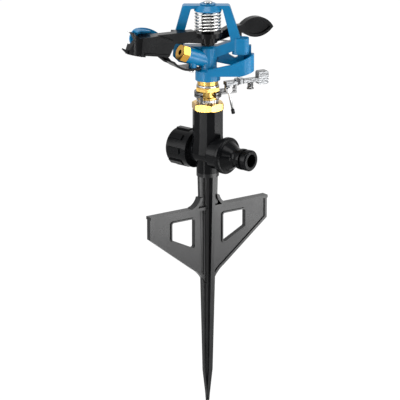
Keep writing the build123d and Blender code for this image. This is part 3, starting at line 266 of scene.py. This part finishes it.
# Swivel. The brass sleeve turns in the nut on a rubber and a nylon washer, and a coil
# spring in the skirt keeps them together. All but the brass ring is hidden.
nylon, nylon_tree, nylon_shader = material_base("natural_nylon")
nylon_cloud = node(nylon_tree, "TexNoise", Scale=600.0, Detail=3.0)
nylon_tree.links.new(node(nylon_tree, "TexCoord").outputs["Object"], nylon_cloud.inputs["Vector"])
nylon_tint = node(nylon_tree, "ValToRGB")
nylon_tint.color_ramp.elements[0].color = (0.50, 0.47, 0.40, 1.0)
nylon_tint.color_ramp.elements[1].color = (0.66, 0.63, 0.56, 1.0)
nylon_tree.links.new(nylon_cloud.outputs["Fac"], nylon_tint.inputs["Fac"])
nylon_tree.links.new(nylon_tint.outputs["Color"], nylon_shader.inputs["Base Color"])
nylon_shader.inputs["Roughness"].default_value = 0.45
finished("bearing_sleeve", "head", brass, 0.0002)
finished("sleeve_rubber_washer", "head", rubber, 0.0)
finished("sleeve_slip_washer", "head", nylon, 0.0)
finished("thrust_ring", "head", brass, 0.0003)
spring_wire = bright_steel("spring_wire", (0.62, 0.62, 0.61, 1.0), rough=0.14, streak=1500.0)
finished("bearing_spring", "head", spring_wire, 0.0, smooth=60.0)

# Head casting. Die-cast zinc in glossy light blue enamel: skirt, hub, barrel, the bridge
# over the drive arm, and the bracket that carries the trip.
BLUE = (0.0008, 0.145, 0.32, 1.0)


def blue_enamel(name, colour):
    """Glossy enamel, a little orange-peeled, with slow changes of depth."""
    material, tree, shader = material_base(name)
    place = node(tree, "TexCoord").outputs["Object"]
    peel = node(tree, "TexNoise", Scale=700.0, Detail=2.0)
    cloud = node(tree, "TexNoise", Scale=55.0, Detail=4.0)
    for texture in (peel, cloud):
        tree.links.new(place, texture.inputs["Vector"])
    tint = node(tree, "ValToRGB")
    tint.color_ramp.elements[0].position = 0.3
    tint.color_ramp.elements[0].color = [c * 0.86 for c in colour[:3]] + [1.0]
    tint.color_ramp.elements[1].position = 0.7
    tint.color_ramp.elements[1].color = [c * 1.1 for c in colour[:3]] + [1.0]
    tree.links.new(cloud.outputs["Fac"], tint.inputs["Fac"])
    tree.links.new(tint.outputs["Color"], shader.inputs["Base Color"])
    tree.links.new(spread(tree, cloud.outputs["Fac"], 0.26, 0.36), shader.inputs["Roughness"])
    shader.inputs["Specular IOR Level"].default_value = 0.3
    shader.inputs["Coat Weight"].default_value = 0.12
    shader.inputs["Coat Roughness"].default_value = 0.14
    bump = node(tree, "Bump", Strength=0.18, Distance=0.00006)
    tree.links.new(peel.outputs["Fac"], bump.inputs["Height"])
    tree.links.new(bump.outputs["Normal"], shader.inputs["Normal"])
    return material


enamel = blue_enamel("blue_enamel", BLUE)
finished("head_body", "head", enamel, 0.0005)

# Nozzle. A small brass hexagon screwed into the barrel, pointing up at twenty degrees.
NOZZLE_BRASS = (0.58, 0.33, 0.06, 1.0)
ALONG_THE_JET = (0.0, radians(-70.0), radians(-69.0))
nozzle_brass = turned_brass("nozzle_brass", NOZZLE_BRASS, rough=0.22, across=ALONG_THE_JET)
finished("nozzle", "head", nozzle_brass, 0.0003)

# Fulcrum pin. Bright steel, from the hub up through the arm's bush, the spring and the
# bridge, with a flat head on a blue washer ring.
finished("fulcrum_pin", "head", steel, 0.0003)
finished("pin_washer", "head", enamel, 0.0003)

# Drive arm. One black glass-filled moulding: the hub on a nylon bush, the open channel and
# the curved vane that the jet pushes, and the leaf-shaped weight behind. Its hub goes on as a
# dark sleeve inside the drive spring.
arm_plastic = moulded_black("arm_plastic", BLACK, rough=0.24, grain=0.2, shine=0.16)
finished("drive_arm", "arm", arm_plastic, 0.0005)
finished("arm_bush", "arm", nylon, 0.0)
CORE_R = 0.0052
CORE_BORE = 0.0046
CORE_BOTTOM_Z = 0.1498
CORE_TOP_Z = 0.1645
core = bmesh.new()
bmesh.ops.create_cone(
    core, cap_ends=False, segments=48, radius1=CORE_R, radius2=CORE_R,
    depth=CORE_TOP_Z - CORE_BOTTOM_Z,
    matrix=Matrix.Translation((0.0, 0.0, (CORE_TOP_Z + CORE_BOTTOM_Z) / 2)),
)
bmesh.ops.solidify(core, geom=core.faces, thickness=CORE_R - CORE_BORE)
bmesh.ops.recalc_face_normals(core, faces=core.faces)
put(core, "arm_core", "arm", arm_plastic)

# Drive spring. Bright wire wound round the fulcrum pin; it swings the arm back into the
# jet after every stroke.
finished("drive_spring", "arm", spring_wire, 0.0, smooth=60.0)

# Trip. A steel shaft with a bent finger, an uneven plated lever on its lower end, and the
# stud with the over-centre spring and its clip.
PLATED = (0.19, 0.195, 0.20, 1.0)
plated = bright_steel("plated_casting", PLATED, rough=0.16, streak=210.0, dents=0.0005)
finished("trip_shaft", "trip", steel, 0.0002)
finished("trip_lever", "trip", plated, 0.0004)
finished("wire_pin", "trip", steel, 0.0002)
finished("trip_stud", "trip", steel, 0.0002)
finished("trip_spring", "trip", strip_steel, 0.0, smooth=60.0)
finished("stud_clip", "trip", strip_steel, 0.0)

# Trip wire. Bent steel wire hanging from its eye, with a dark plastic sleeve on the tip
# that meets the collars' tabs.
finished("trip_wire", "wire", steel, 0.0, smooth=60.0)
finished("wire_tip", "wire", arm_plastic, 0.0002)

# Deflector. A black strap screwed under the barrel carries the blue flap on a rivet; the
# flap's top lip is tilted into the jet to shorten its throw.
finished("flap_strap", "head", arm_plastic, 0.0003)
finished("strap_screw", "head", steel, 0.0003)
finished("flap_rivet", "head", steel, 0.0002)
finished("deflector_flap", "flap", enamel, 0.0003)

# Floor. A plain pale sheet at the spike's tip. To the camera it mostly glows as white as the
# photograph's background, and keeps a faint shadow.
FLOOR_Z = -0.1745
FLOOR_HALF = 6.0
FLOOR_GLOW = 1.06
FLOOR_GLOW_SHARE = 0.95
floor_shape = bmesh.new()
bmesh.ops.create_grid(floor_shape, x_segments=1, y_segments=1, size=FLOOR_HALF)
bmesh.ops.translate(floor_shape, verts=floor_shape.verts, vec=(0.0, 0.0, FLOOR_Z))
floor_mesh = bpy.data.meshes.new("floor")
floor_shape.to_mesh(floor_mesh)
floor_shape.free()
floor = bpy.data.objects.new("floor", floor_mesh)
bpy.context.scene.collection.objects.link(floor)
floor_paint, floor_tree, floor_shader = material_base("floor_paint")
floor_shader.inputs["Base Color"].default_value = (0.86, 0.86, 0.86, 1.0)
floor_shader.inputs["Roughness"].default_value = 0.9
floor_glow = node(floor_tree, "Emission", Color=(1.0, 1.0, 1.0, 1.0), Strength=FLOOR_GLOW)
floor_mix = node(floor_tree, "MixShader")
floor_path = node(floor_tree, "LightPath")
floor_share = node(floor_tree, "Math", operation="MULTIPLY")
floor_share.inputs[1].default_value = FLOOR_GLOW_SHARE
floor_tree.links.new(floor_path.outputs["Is Camera Ray"], floor_share.inputs[0])
floor_tree.links.new(floor_share.outputs["Value"], floor_mix.inputs["Fac"])
floor_tree.links.new(floor_shader.outputs["BSDF"], floor_mix.inputs[1])
floor_tree.links.new(floor_glow.outputs["Emission"], floor_mix.inputs[2])
floor_tree.links.new(floor_mix.outputs["Shader"], floor_tree.nodes["Material Output"].inputs["Surface"])
floor_mesh.materials.append(floor_paint)

# Light. A dim pale room that the camera, metal and glass see as white, a soft box each side,
# one above, a weak one by the camera, and three low ones on the floor, just out of view, whose
# reflections run down the wings, the stem and the post.
ROOM_LIGHT = 0.25
ROOM_WHITE = 1.0
world = bpy.data.worlds.new("pale_room")
bpy.context.scene.world = world
world.use_nodes = True
room = world.node_tree
room_light = room.nodes["Background"]
room_light.inputs["Color"].default_value = (1.0, 1.0, 1.0, 1.0)
room_light.inputs["Strength"].default_value = ROOM_LIGHT
room_white = room.nodes.new("ShaderNodeBackground")
room_white.inputs["Color"].default_value = (1.0, 1.0, 1.0, 1.0)
room_white.inputs["Strength"].default_value = ROOM_WHITE
room_path = room.nodes.new("ShaderNodeLightPath")
room_seen = node(room, "Math", operation="ADD")
room_shown = node(room, "Math", operation="ADD", use_clamp=True)
room.links.new(room_path.outputs["Is Glossy Ray"], room_seen.inputs[0])
room.links.new(room_path.outputs["Is Transmission Ray"], room_seen.inputs[1])
room.links.new(room_seen.outputs["Value"], room_shown.inputs[0])
room.links.new(room_path.outputs["Is Camera Ray"], room_shown.inputs[1])
room_mix = room.nodes.new("ShaderNodeMixShader")
room.links.new(room_shown.outputs["Value"], room_mix.inputs["Fac"])
room.links.new(room_light.outputs["Background"], room_mix.inputs[1])
room.links.new(room_white.outputs["Background"], room_mix.inputs[2])
room.links.new(room_mix.outputs["Shader"], room.nodes["World Output"].inputs["Surface"])

VIEW_TURN = radians(40.0)
LIGHT_AIM = Vector((0.0, 0.0, 0.03))


def soft_box(name, turn, height, distance, width, tall, watts):
    """An area lamp at an angle round the object, counted from the camera's side."""
    lamp = bpy.data.lights.new(name, "AREA")
    lamp.shape = "RECTANGLE"
    lamp.size = width
    lamp.size_y = tall
    lamp.energy = watts
    holder = bpy.data.objects.new(name, lamp)
    bpy.context.scene.collection.objects.link(holder)
    angle = VIEW_TURN + radians(turn)
    spot = Vector((sin(angle) * distance, -cos(angle) * distance, height))
    holder.location = spot
    holder.rotation_euler = (LIGHT_AIM - spot).to_track_quat("-Z", "Y").to_euler()
    return holder


soft_box("box_left", turn=-72.0, height=0.45, distance=1.1, width=0.35, tall=1.0, watts=9.0)
soft_box("box_right", turn=78.0, height=0.35, distance=1.1, width=0.35, tall=1.0, watts=8.0)
soft_box("box_top", turn=-15.0, height=1.3, distance=0.5, width=0.9, tall=0.7, watts=11.0)
soft_box("box_front", turn=-25.0, height=0.6, distance=1.7, width=0.5, tall=0.5, watts=4.0)
soft_box("box_low", turn=70.0, height=-0.095, distance=0.42, width=0.4, tall=0.13, watts=1.4)
soft_box("strip_left", turn=-38.0, height=-0.03, distance=0.6, width=0.05, tall=0.26, watts=0.6)
soft_box("strip_right", turn=36.0, height=-0.03, distance=0.62, width=0.03, tall=0.26, watts=0.35)

# Dark card. A matte black sheet behind the camera, which the parts that face it mirror. No
# camera sees it, from whichever side the object is looked at.
CARD_BACK = 2.8
CARD_HALF = 3.6
CARD_BLACK = (0.01, 0.01, 0.01, 1.0)
card_shape = bmesh.new()
bmesh.ops.create_grid(card_shape, x_segments=1, y_segments=1, size=CARD_HALF)
stand = Matrix.Translation(Vector((sin(VIEW_TURN), -cos(VIEW_TURN), 0.0)) * CARD_BACK)
card_turn = Matrix.Rotation(VIEW_TURN, 4, "Z") @ Matrix.Rotation(radians(90.0), 4, "X")
bmesh.ops.transform(card_shape, verts=card_shape.verts, matrix=stand @ card_turn)
card_mesh = bpy.data.meshes.new("dark_card")
card_shape.to_mesh(card_mesh)
card_shape.free()
card = bpy.data.objects.new("dark_card", card_mesh)
bpy.context.scene.collection.objects.link(card)
card_paint, card_tree, card_shader = material_base("card_paint")
card_shader.inputs["Base Color"].default_value = CARD_BLACK
card_shader.inputs["Roughness"].default_value = 0.95
card_mesh.materials.append(card_paint)
card.visible_camera = False

# Camera. Far back with a long lens, turned forty degrees and a little above the object.
AIM = Vector((-0.00495, -0.00416, 0.00457))
RAISE = radians(16.5)
DISTANCE = 2.5
VIEW_WIDTH = 0.33595
SENSOR_WIDTH = 36.0
FAR_CLIP = 20.0
lens = bpy.data.cameras.new("photo_camera")
lens.sensor_width = SENSOR_WIDTH
lens.lens = SENSOR_WIDTH * DISTANCE / VIEW_WIDTH
lens.clip_end = FAR_CLIP
camera = bpy.data.objects.new("photo_camera", lens)
bpy.context.scene.collection.objects.link(camera)
back = Vector((sin(VIEW_TURN) * cos(RAISE), -cos(VIEW_TURN) * cos(RAISE), sin(RAISE)))
camera.location = AIM + back * DISTANCE
camera.rotation_euler = (-back).to_track_quat("-Z", "Y").to_euler()
bpy.context.scene.camera = camera
bpy.context.scene.view_settings.view_transform = "Standard"
